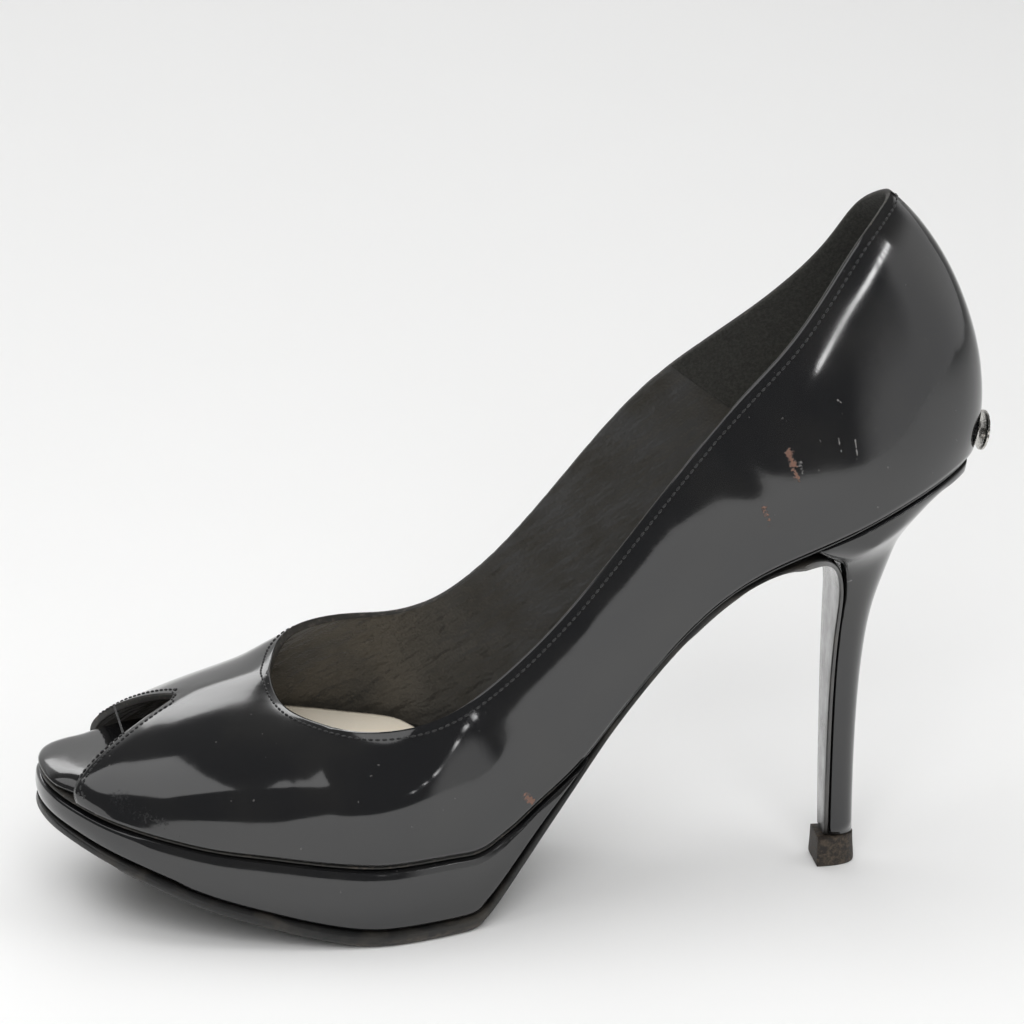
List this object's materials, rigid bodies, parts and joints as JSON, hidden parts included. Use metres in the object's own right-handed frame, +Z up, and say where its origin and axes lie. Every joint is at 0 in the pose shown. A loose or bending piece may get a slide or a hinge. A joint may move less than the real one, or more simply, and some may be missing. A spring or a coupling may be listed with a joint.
{
  "type": "peep toe pump",
  "caption": "Women's slender-heeled platform pump with a peep toe, a low-cut vamp, a padded tip, a full-length outsole and a slim heel with a rubber top lift; left shoe.",
  "frame": {"origin": "middle of the flat spot of the outsole under the ball of the foot, on the plane the shoe stands on", "axes": "+X from toe to heel, +Y to the inner side of the foot, +Z up from the standing plane"},
  "size_m": [0.2152, 0.0852, 0.1577],
  "materials": {
    "upper": "black patent, high gloss",
    "insole": "black patent, padded at the tip",
    "sock": "beige, satin",
    "midsole": "dark edge, matte",
    "platform": "black patent covering, gloss",
    "outsole": "black, satin, worn edge",
    "heel": "black patent covering, high gloss",
    "top_lift": "matte, worn",
    "heel_plate": "dull silver"
  },
  "bodies": {
    "root": {"upper": "upper", "insole": "insole", "sock": "sock", "midsole": "midsole", "platform": "platform", "outsole": "outsole", "heel": "heel", "top_lift": "top_lift", "heel_plate": "heel_plate"}
  },
  "joints": []
}
